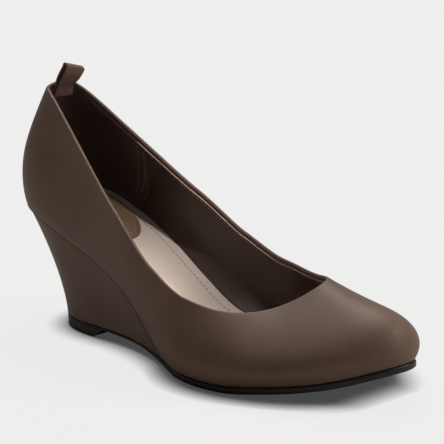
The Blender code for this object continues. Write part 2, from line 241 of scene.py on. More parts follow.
def steady_curve(values, at):
    """Smooth curve through values at 0, 1, 2 and so on that never swings past them."""
    values = np.asarray(values, float)
    last = len(values) - 1
    rise = np.diff(values)
    product = np.clip(rise[:-1] * rise[1:], 0, None)
    total = np.where(product > 0, rise[:-1] + rise[1:], 1.0)
    slope = np.concatenate([rise[:1], 2 * product / total, rise[-1:]])
    at = np.clip(at, 0, last)
    left = np.minimum(at.astype(int), last - 1)
    t = at - left
    start = values[left] * (1 + 2 * t) * (1 - t) ** 2 + slope[left] * t * (1 - t) ** 2
    end = values[left + 1] * (3 - 2 * t) * t**2 - slope[left + 1] * (1 - t) * t**2
    return start + end


def closed_spline(values, at):
    """Smooth closed curve through the rows of values, read at the places in at."""
    values = np.asarray(values, float)
    count = len(values)
    ring = np.eye(count)
    system = 4 * ring + np.roll(ring, 1, 0) + np.roll(ring, -1, 0)
    turn = np.roll(values, 1, 0) - 2 * values + np.roll(values, -1, 0)
    bend = np.linalg.solve(system, 6 * turn)
    at = np.mod(at, count)
    left = at.astype(int) % count
    right = (left + 1) % count
    t = (at - left)[..., None]
    s = 1 - t
    straight = s * values[left] + t * values[right]
    return straight + ((s**3 - s) * bend[left] + (t**3 - t) * bend[right]) / 6


def profile(column, x):
    tenths = np.asarray(x, float) / SHOE_LENGTH * (len(PROFILE) - 1)
    return steady_curve([row[column] for row in PROFILE], tenths)


def footbed(x):
    """Height of the last's underside."""
    return SOLE_THICKNESS + GAP + profile(0, x) * HEEL_RISE + profile(2, x) * TOE_SPRING


def tread(x):
    """Height of the outsole's underside."""
    return profile(1, x) * (TOP_PIECE_HEIGHT + GAP) + profile(2, x) * TOE_SPRING


def sole_thickness(x):
    share = 1 - np.clip(profile(1, x), 0, 1)
    return SHANK_THICKNESS + (SOLE_THICKNESS - SHANK_THICKNESS) * share


def rib_columns():
    half = BALL_WIDTH / 2
    sizes = (SHOE_LENGTH, half, SHOE_LENGTH, half, BACK_RISE, BALL_WIDTH, BALL_WIDTH, BALL_WIDTH)
    return np.array([[share * size for share, size in zip(row[1:], sizes)] for row in RIBS])


def around(count=COLUMNS):
    return np.arange(count) * COUNT / count


def outward(at):
    """Plan normal of the feather line, pointing out of the shoe."""
    step = 0.01
    ribs = rib_columns()
    run = (closed_spline(ribs, at + step) - closed_spline(ribs, at - step))[:, :2]
    normal = np.stack([run[:, 1], -run[:, 0], np.zeros(len(run))], 1)
    return normal / np.linalg.norm(normal, axis=1, keepdims=True)


def feather_line(at, inset=0.0):
    ribs = closed_spline(rib_columns(), at)
    flat = np.stack([ribs[:, 0], ribs[:, 1], np.zeros(len(ribs))], 1)
    return flat - outward(at) * inset


def topline(at):
    ribs = closed_spline(rib_columns(), at)
    return np.stack([ribs[:, 2], ribs[:, 3], footbed(ribs[:, 2]) + ribs[:, 4]], 1)


def cubic_weights(t):
    """Weights of a cubic curve's four control points at the shares t of the way along it."""
    s = 1 - t
    return s**3, 3 * t * s**2, 3 * t**2 * s, t**3


def rib_weights(t):
    """Weights of a rib's five control points at the shares t of the way along it."""
    t = np.asarray(t, float)
    f0, f1, f2, f3 = cubic_weights(np.clip(2 * t, 0, 1))
    s0, s1, s2, s3 = cubic_weights(np.clip(2 * t - 1, 0, 1))
    none = np.zeros_like(t)
    lower = np.stack([f0, f1 + f2 / 2 + f3 / 4, f2 / 2 + f3 / 2, f3 / 4, none])
    upper = np.stack([none, s0 / 4, s0 / 2 + s1 / 2, s0 / 4 + s1 / 2 + s2, s3])
    return np.where(t < 0.5, lower, upper)


def rib_controls(at):
    ribs = closed_spline(rib_columns(), at)
    foot = feather_line(at)
    foot[:, 2] = footbed(foot[:, 0])
    chord = topline(at) - foot
    along = chord / np.linalg.norm(chord, axis=1, keepdims=True)
    out = outward(at)
    bow = out - along * np.sum(out * along, axis=1, keepdims=True)
    bow /= np.linalg.norm(bow, axis=1, keepdims=True)
    controls = [foot]
    for place, share in enumerate(BOW_SHARES):
        controls.append(foot + chord * share + bow * ribs[:, 5 + place : 6 + place])
    controls.append(foot + chord)
    return np.array(controls)


class Wall:
    """The upper's outer face over some places round the last, read by length up from its foot."""

    samples = np.linspace(0, 1, 81)
    beside = 0.02  # how far to each side the face's slope is read, in ribs
    near = 0.01  # and how far up and down, as a share of the rib

    def __init__(self, at):
        self.at = np.asarray(at, float)
        self.controls = rib_controls(self.at)
        self.behind = rib_controls(self.at - self.beside)
        self.beyond = rib_controls(self.at + self.beside)
        weights = rib_weights(self.samples)
        points = np.einsum("km,knc->mnc", weights, self.controls)
        steps = np.linalg.norm(np.diff(points, axis=0), axis=2)
        self.travel = np.vstack([np.zeros(len(self.at)), np.cumsum(steps, 0)])
        self.length = self.travel[-1]

    def at_length(self, distance, depth=0.0):
        """Points and normals at rows of distances up the wall, moved inward by depth."""
        distance = np.broadcast_to(distance, (len(distance), len(self.at)))
        share = np.empty(distance.shape)
        for column in range(len(self.at)):
            share[:, column] = np.interp(distance[:, column], self.travel[:, column], self.samples)
        low = np.clip(share - self.near, 0, 1)
        high = np.clip(share + self.near, 0, 1)
        middle = rib_weights(share)
        point = np.einsum("kmn,knc->mnc", middle, self.controls)
        up = np.einsum("kmn,knc->mnc", rib_weights(high) - rib_weights(low), self.controls)
        side = np.einsum("kmn,knc->mnc", middle, self.beyond - self.behind)
        normal = np.cross(side, up)
        normal /= np.linalg.norm(normal, axis=2, keepdims=True)
        depth = np.broadcast_to(depth, distance.shape)
        return point - normal * depth[..., None], normal


def base_outline(line):
    """The wedge's foot: the feather line moved forward and narrowed where the wedge is tall."""
    back = line[0, 0]
    share = np.clip(1 - (line[:, 0] - back) / (WEDGE_FRONT * SHOE_LENGTH - back), 0, 1)
    base = line.copy()
    base[:, 0] += WEDGE_SETBACK * share**SETBACK_CURVE
    height = footbed(base[:, 0]) - footbed(BALL_PLACE * SHOE_LENGTH)
    base[:, 1] *= 1 - WEDGE_NARROWING * height / HEEL_RISE * (share > 0)
    return base


def slices(line, front=None, steps=96):
    """A ring through the closed line at matching distances from the heel on both its sides."""
    line = np.roll(line, -np.argmin(line[:, 0]), 0)
    tip = np.argmax(line[:, 0])
    back = line[0, 0]
    if front is None:
        x = back + (line[tip, 0] - back) * (1 - np.cos(np.linspace(0, np.pi, steps + 1))) / 2
    else:
        x = back + (front - back) * (1 - np.cos(np.linspace(0, np.pi / 2, steps + 1)))
    inner_line = np.vstack([line[tip:], line[:1]])[::-1]
    outer = np.interp(x, line[: tip + 1, 0], line[: tip + 1, 1])
    inner = np.interp(x, inner_line[:, 0], inner_line[:, 1])
    back_from = steps - 1 if front is None else steps
    x = np.concatenate([x, x[back_from:0:-1]])
    y = np.concatenate([outer, inner[back_from:0:-1]])
    return np.stack([x, y, np.zeros(len(x))], 1)


def at_height(ring, heights):
    lifted = ring.copy()
    lifted[:, 2] = heights
    return lifted


# Meshes

def add_mesh(name, points, faces, finish):
    mesh = bpy.data.meshes.new(name)
    mesh.from_pydata((np.asarray(points).reshape(-1, 3) + shoe_place).tolist(), [], faces)
    mesh.validate()
    mesh.materials.append(finish)
    mesh.shade_smooth()
    piece = bpy.data.objects.new(name, mesh)
    bpy.context.scene.collection.objects.link(piece)
    return piece


def dress(piece, slot, *nodes):
    """Puts a piece on the body in place of the nodes it stands for. Its slot is not used."""
    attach(piece, "root")
    if nodes:
        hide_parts(*nodes)
    return piece


def tube_mesh(name, rows, finish, closed_ring=True):
    """A mesh over a grid of points whose last row meets the first, and in a ring each row too."""
    rows = np.asarray(rows)
    height, width = rows.shape[:2]
    faces = []
    for row in range(height):
        low = row * width
        high = (row + 1) % height * width
        for column in range(width if closed_ring else width - 1):
            beside = (column + 1) % width
            faces.append((low + column, low + beside, high + beside, high + column))
    return add_mesh(name, rows, faces, finish)


def band_faces(first, count):
    """Faces between the ring of points that starts at first and the ring after it."""
    faces = []
    for i in range(count):
        j = (i + 1) % count
        faces.append((first + i, first + j, first + count + j, first + count + i))
    return faces


def ladder_faces(start, count, facing_up):
    """Faces that fill a ring by joining its points in pairs across the shoe."""
    faces = [(start, start + 1, start + count - 1)]
    for i in range(1, (count - 1) // 2):
        faces.append((start + i, start + i + 1, start + count - i - 1, start + count - i))
    if count % 2 == 0:
        middle = start + count // 2
        faces.append((middle - 1, middle, middle + 1))
    return faces if facing_up else [face[::-1] for face in faces]


def stack(name, levels, finish):
    """A closed solid through rings, lowest first, whose points pair off across the shoe."""
    count = len(levels[0])
    faces = ladder_faces(0, count, False)
    for level in range(len(levels) - 1):
        faces += band_faces(level * count, count)
    faces += ladder_faces((len(levels) - 1) * count, count, True)
    piece = add_mesh(name, np.vstack(levels), faces, finish)
    piece.data.set_sharp_from_angle(angle=math.radians(SHARP_ANGLE))
    return piece


def quarter_turn(steps):
    """Pairs round a quarter circle of radius 1: how far in and how far up from its start."""
    turn = np.linspace(0, np.pi / 2, steps + 1)
    return list(zip(1 - np.cos(turn), np.sin(turn)))


def travel_along(line):
    """The distance along a line of points at each of them."""
    return np.concatenate([[0], np.cumsum(np.linalg.norm(np.diff(line, axis=0), axis=1))])


def read_along(values, travel, distances):
    """The rows of values that belong to travel, read at the distances."""
    return np.stack([np.interp(distances, travel, values[:, axis]) for axis in range(3)], -1)


def line_length(line):
    return np.linalg.norm(np.diff(line, axis=0), axis=1).sum()


def stitch_row(name, line, facing, finish, pitch, length, radius):
    """Short threads along a line of points. facing points out of the material at each of them."""
    count = int(line_length(line) / pitch)
    starts = (np.arange(count) + 0.5) * pitch - length / 2
    travel = travel_along(line)
    shares, girths, lifts = np.array(THREAD).T
    points = []
    faces = []
    for start in starts:
        spine = read_along(line, travel, start + shares * length)
        out = read_along(facing, travel, start)
        out /= np.linalg.norm(out)
        run = spine[-1] - spine[0]
        run /= np.linalg.norm(run)
        side = np.cross(run, out)
        first = len(points)
        for centre, girth, lift in zip(spine, girths, lifts):
            for turn in np.arange(THREAD_SIDES) * 2 * np.pi / THREAD_SIDES:
                ring = side * np.cos(turn) + out * np.sin(turn)
                points.append(centre + out * lift * radius + ring * radius * girth)
        for level in range(len(THREAD) - 1):
            for a, b, c, d in band_faces(first + level * THREAD_SIDES, THREAD_SIDES):
                faces.append((b, a, d, c))
        faces.append(tuple(first + i for i in range(THREAD_SIDES)))
        last = first + (len(THREAD) - 1) * THREAD_SIDES
        faces.append(tuple(last + i for i in reversed(range(THREAD_SIDES))))
    return add_mesh(name, points, faces, finish)


# Materials

def set_input(node, name, value):
    node.inputs[name].default_value = value


def grain_group():
    """Leather grain: fine pebbles with a slow unevenness. Gives a height and a slow mottle."""
    tree = bpy.data.node_groups.new("leather_grain", "ShaderNodeTree")
    tree.interface.new_socket("Pebble Scale", in_out="INPUT", socket_type="NodeSocketFloat")
    tree.interface.new_socket("Wrinkle Scale", in_out="INPUT", socket_type="NodeSocketFloat")
    tree.interface.new_socket("Wrinkle Share", in_out="INPUT", socket_type="NodeSocketFloat")
    tree.interface.new_socket("Height", in_out="OUTPUT", socket_type="NodeSocketFloat")
    tree.interface.new_socket("Mottle", in_out="OUTPUT", socket_type="NodeSocketFloat")
    nodes, links = tree.nodes, tree.links
    start = nodes.new("NodeGroupInput")
    place = nodes.new("ShaderNodeTexCoord")
    pebbles = nodes.new("ShaderNodeTexVoronoi")
    pebbles.feature = "SMOOTH_F1"
    set_input(pebbles, "Smoothness", 0.6)
    wrinkles = nodes.new("ShaderNodeTexNoise")
    set_input(wrinkles, "Detail", 4.0)
    set_input(wrinkles, "Distortion", 0.6)
    mottle = nodes.new("ShaderNodeTexNoise")
    set_input(mottle, "Scale", 45.0)
    set_input(mottle, "Detail", 3.0)
    blend = nodes.new("ShaderNodeMix")
    end = nodes.new("NodeGroupOutput")
    for texture in (pebbles, wrinkles, mottle):
        links.new(place.outputs["Object"], texture.inputs["Vector"])
    links.new(start.outputs["Pebble Scale"], pebbles.inputs["Scale"])
    links.new(start.outputs["Wrinkle Scale"], wrinkles.inputs["Scale"])
    links.new(start.outputs["Wrinkle Share"], blend.inputs[0])
    links.new(pebbles.outputs["Distance"], blend.inputs[2])
    links.new(wrinkles.outputs["Fac"], blend.inputs[3])
    links.new(blend.outputs[0], end.inputs["Height"])
    links.new(mottle.outputs["Fac"], end.inputs["Mottle"])
    return tree


def leather(name, dark, light, roughness, pebbles,
            wrinkles=220.0, wrinkle_share=0.3, relief=0.00012, shine=0.35):
    """A grained finish whose colour and gloss drift a little over the surface.

    pebbles and wrinkles are counted to the metre, and relief is the grain's depth in metres.
    """
    made = bpy.data.materials.new(name)
    made.use_nodes = True
    nodes, links = made.node_tree.nodes, made.node_tree.links
    shader = nodes["Principled BSDF"]
    set_input(shader, "Metallic", 0.0)
    set_input(shader, "Specular IOR Level", shine)
    grain = nodes.new("ShaderNodeGroup")
    grain.node_tree = bpy.data.node_groups["leather_grain"]
    set_input(grain, "Pebble Scale", pebbles)
    set_input(grain, "Wrinkle Scale", wrinkles)
    set_input(grain, "Wrinkle Share", wrinkle_share)
    colour = nodes.new("ShaderNodeValToRGB")
    for element, place, tone in zip(colour.color_ramp.elements, (0.35, 0.65), (dark, light)):
        element.position = place
        element.color = (*tone, 1.0)
    gloss = nodes.new("ShaderNodeMapRange")
    set_input(gloss, "From Min", 0.3)
    set_input(gloss, "From Max", 0.7)
    set_input(gloss, "To Min", roughness - 0.04)
    set_input(gloss, "To Max", roughness + 0.04)
    bump = nodes.new("ShaderNodeBump")
    set_input(bump, "Strength", 0.5)
    set_input(bump, "Distance", relief)
    links.new(grain.outputs["Mottle"], colour.inputs["Fac"])
    links.new(colour.outputs["Color"], shader.inputs["Base Color"])
    links.new(grain.outputs["Mottle"], gloss.inputs["Value"])
    links.new(gloss.outputs["Result"], shader.inputs["Roughness"])
    links.new(grain.outputs["Height"], bump.inputs["Height"])
    links.new(bump.outputs["Normal"], shader.inputs["Normal"])
    return made


def make_finishes():
    grain_group()
    return {
        "taupe": leather("taupe_leather", (0.132, 0.085, 0.063), (0.156, 0.102, 0.076),
                         0.47, 1900.0, shine=0.20),
        "lining": leather("lining_leather", (0.055, 0.035, 0.026), (0.078, 0.050, 0.037),
                          0.46, 1300.0, wrinkles=170.0, wrinkle_share=0.70, relief=0.0007),
        "counter": leather("counter_suede", (0.082, 0.054, 0.047), (0.100, 0.067, 0.058),
                           0.80, 2400.0),
        "raw_edge": leather("lining_raw_edge", (0.70, 0.50, 0.40), (0.80, 0.60, 0.48),
                            0.7, 2600.0),
        "sock": leather("sock_leather", (0.70, 0.57, 0.49), (0.76, 0.62, 0.53),
                        0.62, 1700.0, relief=0.0001),
        "pad": leather("pad_leather", (0.23, 0.140, 0.084), (0.29, 0.185, 0.112),
                       0.38, 1500.0, relief=0.0002),
        "board": leather("board_card", (0.05, 0.035, 0.027), (0.06, 0.042, 0.033),
                         0.8, 1500.0),
        # Painted shade: a near-black finish for the bead that stands for the shadow in the wedge's
        # seam.
        "seam_painted_shade": leather("seam_painted_shade_line", (0.014, 0.010, 0.009), (0.020, 0.015, 0.013),
                            0.8, 1500.0),
        "sole": leather("sole_rubber", (0.010, 0.009, 0.009), (0.014, 0.012, 0.013),
                        0.45, 1100.0, relief=0.0001),
        "thread_pale": leather("pad_thread", (0.45, 0.36, 0.29), (0.53, 0.43, 0.35),
                               0.55, 3000.0),
        "thread_dark": leather("sock_thread", (0.14, 0.10, 0.08), (0.18, 0.13, 0.10),
                               0.6, 3000.0),
        "thread_brown": leather("lining_thread", (0.27, 0.185, 0.13), (0.34, 0.235, 0.17),
                                0.55, 3000.0),
    }


# Pieces

def fold_over(length, radius, turns):
    """Distances and depths that go round a folded top edge of the wall, from outside to inside."""
    rows = []
    for angle in np.linspace(0, np.pi, turns + 1):
        rows.append((length - radius + radius * np.sin(angle), radius * (1 - np.cos(angle))))
    return rows


def make_upper(finish):
    """The outer leather: a closed skin over the wall, rounded below and folded over at the top."""
    wall = Wall(around())
    length = wall.length
    inner = UPPER_WALL * UPPER_INSIDE
    fold = UPPER_WALL / 2
    rows = []
    for turn in np.linspace(np.pi / 2, 0, 7):
        height = SEAM_ROUND * (1 - np.sin(turn)) + 0 * length
        rows.append((height, SEAM_ROUND * (1 - np.cos(turn))))
    for share in np.linspace(0, 1, 48)[1:-1]:
        rows.append((SEAM_ROUND + (length - fold - SEAM_ROUND) * share, 0.0))
    rows += fold_over(length, fold, 8)
    rows.append((length - FOLD_INSIDE, UPPER_WALL))
    rows.append((length - FOLD_INSIDE - FOLD_STEP, inner))
    for share in np.linspace(0.9, 0.03, 14):
        rows.append((length * share, inner))
    rows.append((0 * length, inner))
    turned_in = [foot_ring(wall.at, LASTING_MARGIN, rise) for rise in (0.0006, 0.0001)]
    piece = tube_mesh("upper_leather", np.vstack([wall_grid(wall, rows), turned_in]), finish)
    return dress(piece, "upper_leather", "upper")


def wall_grid(wall, rows):
    """Points over the wall for rows of a distance up it and a depth below its outer face."""
    distances = np.array([row[0] for row in rows])
    depths = np.array([row[1] + 0 * wall.length for row in rows])
    return wall.at_length(distances, depths)[0]


def foot_ring(at, inset, rise):
    """A ring inside the feather line, rise above the footbed."""
    ring = feather_line(at, inset)
    ring[:, 2] = footbed(ring[:, 0]) + rise
    return ring


def foot_reach(wall):
    """How far the lining swings in off the wall at its foot, so that it covers the sock's rim."""
    tries = np.linspace(0, 0.012, 49)
    points, _ = wall.at_length(tries[:, None], LINING_DEPTH)
    above = points[..., 2] - footbed(points[..., 0]) >= INSOLE_THICKNESS
    first = np.argmax(above, axis=0)
    meeting = points[first, np.arange(len(wall.at))]
    rim = feather_line(wall.at, UPPER_WALL + INSOLE_CLEARANCE)
    apart = np.clip(np.sum((meeting - rim) * outward(wall.at), axis=1), 0, None) + LINING_OVERLAP
    return apart / foot_swing(tries[first])


def lining_row(wall, reach, distance, depth):
    """One row of the lining at a distance up the wall and a depth below its outer face."""
    row = wall_grid(wall, [(distance, depth)])[0]
    return row - outward(wall.at) * (reach * foot_swing(distance))[:, None]


def foot_swing(distance):
    """1 at the foot of the wall, falling softly to 0 at LINING_FILLET above it."""
    near = 1 - np.clip(distance / LINING_FILLET, 0, 1)
    return near**2 * (3 - 2 * near)


def make_lining(finish):
    """The lining: a closed sheet inside the wall, with its raw edge just under the fold."""
    wall = Wall(around())
    reach = foot_reach(wall)
    top = wall.length - LINING_DROP
    face = LINING_DEPTH + LINING_AHEAD
    behind = LINING_DEPTH - LINING_BEHIND
    middle = (face + behind) / 2
    rows = [foot_ring(wall.at, UPPER_WALL + INSOLE_CLEARANCE + LINING_OVERLAP, LINING_HEM)]
    for share in np.linspace(LINING_START, 1, 56)[:-1]:
        rows.append(lining_row(wall, reach, top * share, face))
    for turn in np.linspace(0, np.pi, 5):
        distance = top + LINING_EDGE_ROUND * np.sin(turn)
        rows.append(lining_row(wall, reach, distance, middle + (face - middle) * np.cos(turn)))
    for share in np.linspace(0.95, LINING_START, 12):
        rows.append(lining_row(wall, 0 * reach, top * share, behind))
    rows.append(foot_ring(wall.at, UPPER_WALL, LINING_HEM))
    piece = tube_mesh("lining", rows, finish)
    piece.data.flip_normals()
    return dress(piece, "upper_leather")


def wall_bead(name, drop, depth, radius, finish, at):
    """A fine round bead along the inside of the wall, drop below the topline."""
    wall = Wall(at)
    rows = []
    for turn in np.arange(BEAD_SIDES) * 2 * np.pi / BEAD_SIDES:
        rows.append((wall.length - drop + radius * np.sin(turn), depth + radius * np.cos(turn)))
    return tube_mesh(name, wall_grid(wall, rows), finish, closed_ring=False)


def make_counter_lining(finish):
    """The heel's own lining: a thin sheet over the lining with a leaning edge on both sides."""
    sides = np.linspace(-1, 1, 121)
    rows = []
    for depth in (COUNTER_DEPTH, COUNTER_DEPTH + COUNTER_SHEET):
        sheet = []
        for share in np.linspace(0, 1, 32):
            wall = Wall(sides * COUNTER_END * (1 - COUNTER_LEAN * (1 - share)))
            low = wall.length * LINING_START
            distance = low + (wall.length - LINING_DROP + 0.0001 - low) * share
            sheet.append(lining_row(wall, foot_reach(wall), distance, depth))
        rows.append(sheet)
    grid = np.array(rows[0] + rows[1][::-1])
    piece = tube_mesh("counter_lining", grid, finish, closed_ring=False)
    close_ends(piece, len(grid), len(sides))
    piece.data.set_sharp_from_angle(angle=math.radians(SHARP_ANGLE))
    return dress(piece, "upper_leather")


def close_ends(piece, height, width):
    """Closes the two open ends of a sheet that runs up one face and down the other."""
    mesh = piece.data
    points = [vertex.co.copy() for vertex in mesh.vertices]
    faces = [tuple(polygon.vertices) for polygon in mesh.polygons]
    for row in range(height // 2 - 1):
        across = height - 1 - row
        first = (row * width, (row + 1) * width, (across - 1) * width, across * width)
        faces.append(first)
        faces.append(tuple(corner + width - 1 for corner in reversed(first)))
    closed = bpy.data.meshes.new(mesh.name + "_closed")
    closed.from_pydata(points, [], faces)
    closed.materials.append(mesh.materials[0])
    closed.shade_smooth()
    piece.data = closed


def inside_line(at, distances_from_top, depth):
    """A line over the inside of the wall and the directions into the shoe at its points."""
    wall = Wall(at)
    distances = wall.length - distances_from_top
    points, normals = wall.at_length(distances[None, :], depth)
    return points[0], -normals[0]


def make_lining_stitches(finish):
    """The row below the lining's edge, and the double rows where the heel's lining ends."""
    rows = []
    at = np.linspace(TOPLINE_ROW_END, COUNT - TOPLINE_ROW_END, 700)
    line, facing = inside_line(at, LINING_DROP + TOPLINE_ROW_DROP, LINING_DEPTH + 0.0006)
    rows.append(stitch_row("topline_stitches", line, facing, finish, *TOPLINE_STITCH))
    for side in (-1, 1):
        for number, gap in enumerate(COUNTER_ROWS):
            top = side * (COUNTER_END - gap)
            place = np.linspace(top, top * (1 - COUNTER_LEAN), 60)
            foot = Wall(place[:1]).length[0]
            drops = np.linspace(LINING_DROP + COUNTER_ROW_DROP, foot - COUNTER_ROW_FOOT, 60)
            line, facing = inside_line(place, drops, LINING_DEPTH + 0.0009)
            name = f"counter_stitches_{'outer' if side > 0 else 'inner'}_{number + 1}"
            rows.append(stitch_row(name, line, facing, finish, *COUNTER_STITCH))
    for row in rows:
        dress(row, "upper_leather")


def seam_rise(at):
    """How far up the wall the wedge's leather reaches at places counted from the back seam."""
    outer = np.mod(at, COUNT)
    from_back = np.minimum(outer, (COUNT - outer) * SEAM_SKEW)
    return np.interp(from_back, SEAM_RIBS, SEAM_RISES)


def wedge_lip(wall, share, depth):
    """A closed line on the wall at a share of the seam's rise, moved inward by depth."""
    return wall_grid(wall, [(seam_rise(wall.at) * share, depth)])[0]


def wedge_ring(line):
    """The line as a ring whose points pair off across the shoe, each at the line's own height."""
    front = WEDGE_FRONT * SHOE_LENGTH
    ring = slices(line, front, steps=110)
    return at_height(ring, slices(line[:, (0, 2, 2)], front, steps=110)[:, 1])


def make_wedge(finish, painted_shade):
    """The wedge in its leather, which laps up over the foot of the upper, and a near-black bead of
    painted shade along the seam.
    """
    wall = Wall(around(FINE))
    foot = feather_line(wall.at)
    base = base_outline(foot)
    proud = np.clip(seam_rise(wall.at) / SEAM_PROUD, 0, 1)
    lip = wedge_lip(wall, 1.0, SEAM_STEP * (1 - proud) - SEAM_LIP * proud)
    levels = []
    for share, inset in [*WEDGE_FOOT, *((part, 0.0) for part in np.linspace(0.02, 1, 30))]:
        line = base + (lip - base) * share**WEDGE_CURVE
        line[:, 2] = lip[:, 2]
        ring = wedge_ring(line - outward(wall.at) * inset)
        under = tread(ring[:, 0]) + sole_thickness(ring[:, 0]) + GAP * 0.3
        levels.append(at_height(ring, under + (np.maximum(ring[:, 2], under) - under) * share))
    for share in (1.0, 0.5, 0.0):
        levels.append(wedge_ring(wedge_lip(wall, share, UPPER_WALL / 2)))
    cap = wedge_ring(foot - outward(wall.at) * SEAM_DEPTH)
    levels.append(at_height(cap, footbed(cap[:, 0]) - GAP * 0.1))
    piece = stack("wedge_leather", levels, finish)
    dress(piece, "wedge_leather", "wedge")
    # A near-black bead of painted shade follows the seam at its rise on the wall, where the groove
    # falls into shadow.
    along = Wall(np.linspace(-SEAM_RIBS[-1] / SEAM_SKEW, SEAM_RIBS[-1], 500))
    rise = seam_rise(along.at)
    radius = np.interp(rise, SEAM_LINE_RISES, SEAM_LINE)
    raised, sunk = SEAM_LINE_PLACE
    rows = []
    for turn in np.arange(BEAD_SIDES) * 2 * np.pi / BEAD_SIDES:
        rows.append((rise + radius * (raised + np.sin(turn)), radius * (sunk + np.cos(turn))))
    seam = tube_mesh("wedge_seam_painted_shade", wall_grid(along, rows), painted_shade, closed_ring=False)
    return dress(seam, "wedge_leather")


def sole_outline(inset):
    base = base_outline(feather_line(around(FINE)))
    front = 1 - np.clip(profile(1, base[:, 0]), 0, 1)
    return base + outward(around(FINE)) * (SOLE_MARGIN * front - inset)[:, None]


def make_outsole(finish):
    """The outsole with its edges a little rounded."""
    levels = []
    step = WEDGE_FRONT * SHOE_LENGTH + GAP
    for share, inset in SOLE_EDGE:
        ring = slices(sole_outline(inset), steps=120)
        nearest = np.abs(ring[:, 0] - step) == np.abs(ring[:, 0] - step).min()
        ring[nearest, 0] = step
        under = tread(ring[:, 0])
        top = under + sole_thickness(ring[:, 0])
        top = np.where(ring[:, 0] > step, footbed(ring[:, 0]) - GAP * 0.2, top)
        levels.append(at_height(ring, under * (1 - share) + top * share))
    return dress(stack("outsole_rubber", levels, finish), "outsole_rubber", "outsole")


def make_top_piece(finish):
    """The lift under the wedge, with its slanted front end."""
    line = base_outline(feather_line(around(FINE)))
    normal = outward(around(FINE))
    back = line[:, 0].min()
    levels = []
    for share, inset in LIFT_EDGE:
        front = back + TOP_PIECE_LENGTH + TOP_PIECE_BEVEL * share - inset
        ring = slices(line - normal * inset, front, 60)
        top = tread(ring[:, 0]) - GAP * 0.3
        levels.append(at_height(ring, top * share))
    return dress(stack("heel_lift", levels, finish), "top_piece_rubber", "top_piece")


def make_insole(finish, thread):
    """The sock with its rounded rim, and the row of stitches along it."""
    at = around(FINE)
    line = feather_line(at, UPPER_WALL + INSOLE_CLEARANCE)
    side = INSOLE_THICKNESS - SOCK_ROUND
    levels = []
    rim = [(into, side + SOCK_ROUND * up) for into, up in quarter_turn(4)]
    for into, rise in [(0.0, 0.0)] + rim:
        ring = slices(line - outward(at) * (SOCK_ROUND * into), steps=110)
        levels.append(at_height(ring, footbed(ring[:, 0]) + rise))
    dress(stack("sock", levels, finish), "insole_sock", "insole")
    path = feather_line(at, UPPER_WALL + INSOLE_CLEARANCE + SOCK_ROW_MARGIN)
    path[:, 2] = footbed(path[:, 0]) + INSOLE_THICKNESS
    dress(closed_row("sock_stitches", path, thread, SOCK_STITCH), "insole_sock")


def closed_row(name, path, thread, stitch):
    """Stitches all round a closed line on the footbed."""
    facing = np.tile(UP, (len(path) + 1, 1))
    return stitch_row(name, np.vstack([path, path[:1]]), facing, thread, *stitch)


def make_insole_board(finish):
    """The board that the upper is lasted to. It shuts the seam from inside."""
    at = around(FINE)
    line = feather_line(at, SEAM_ROUND + 0.0009)
    levels = []
    for height in (-GAP, GAP):
        ring = slices(line, steps=110)
        levels.append(at_height(ring, footbed(ring[:, 0]) + height))
    return dress(stack("insole_board", levels, finish), "insole_sock")


def heel_pad_line(extra):
    """The pad's outline, moved in by extra."""
    line = feather_line(around(FINE), UPPER_WALL + INSOLE_CLEARANCE + HEEL_PAD_MARGIN + extra)
    back = line[:, 0].min()
    length = HEEL_PAD_LENGTH - 2 * extra
    share = np.clip((line[:, 0] - back) / length, 0, 1)
    narrow = np.sqrt(1 - np.clip((share - HEEL_PAD_SHOULDER) / (1 - HEEL_PAD_SHOULDER), 0, 1) ** 2)
    middle = HEEL_PAD_MIDDLE * BALL_WIDTH
    line[:, 1] = middle + (line[:, 1] - middle) * narrow
    line[:, 0] = np.minimum(line[:, 0], back + length)
    return line


def make_heel_pad(finish, thread):
    """The pad at the seat with its soft rim, and its row of stitches."""
    base = INSOLE_THICKNESS + GAP * 0.3
    levels = []
    for rise, extra in PAD_EDGE:
        ring = slices(heel_pad_line(extra), steps=64)
        levels.append(at_height(ring, footbed(ring[:, 0]) + base + rise))
    piece = stack("heel_pad_leather", levels, finish)
    dress(piece, "heel_pad_leather", "heel_pad")
    path = slices(heel_pad_line(PAD_ROW_MARGIN), steps=90)
    path[:, 2] = footbed(path[:, 0]) + base + PAD_EDGE[-1][0]
    dress(closed_row("heel_pad_stitches", path, thread, PAD_STITCH), "heel_pad_leather")


def loop_edge(place, rise):
    """One edge of the pull loop's tape, as in the part's source."""
    top_weights = rib_weights(np.array([0.90, 1.0]))
    wall = np.einsum("km,knc->mnc", top_weights, rib_controls(np.array([place])))
    low, high = wall[0][0], wall[1][0]
    up_wall = (high - low) / np.linalg.norm(high - low)
    beside = topline(np.array([place - 0.05, place + 0.05]))
    inward = np.cross(up_wall, beside[1] - beside[0])
    inward /= np.linalg.norm(inward)
    inward *= np.sign(inward[0])
    start = high + inward * (UPPER_WALL + 2 * GAP + LOOP_TAPE / 2)
    reach = LOOP_OPENING / 2
    lean = np.array([LOOP_AHEAD, LOOP_ASIDE, rise - LOOP_TAPE / 2])
    crown = start + lean + AHEAD * reach
    points = [start - up_wall * LOOP_TUCK, start - up_wall * LOOP_TUCK / 2, start]
    points.append(start + lean * 0.4 - AHEAD * 0.3 * reach)
    for turn in np.radians((180, 150, 120, 90, 60, 30, 0)):
        points.append(crown + reach * (AHEAD * np.cos(turn) + UP * (np.sin(turn) - 1)))
    front = inward * (LOOP_TAPE + GAP)
    points.append(start + lean * 0.6 + AHEAD * 2.6 * reach)
    points += [start + lean * 0.3 + AHEAD * 1.9 * reach, start + front]
    points.append(start - up_wall * LOOP_TUCK / 2 + front)
    points.append(start - up_wall * LOOP_TUCK + front)
    return np.array(points)


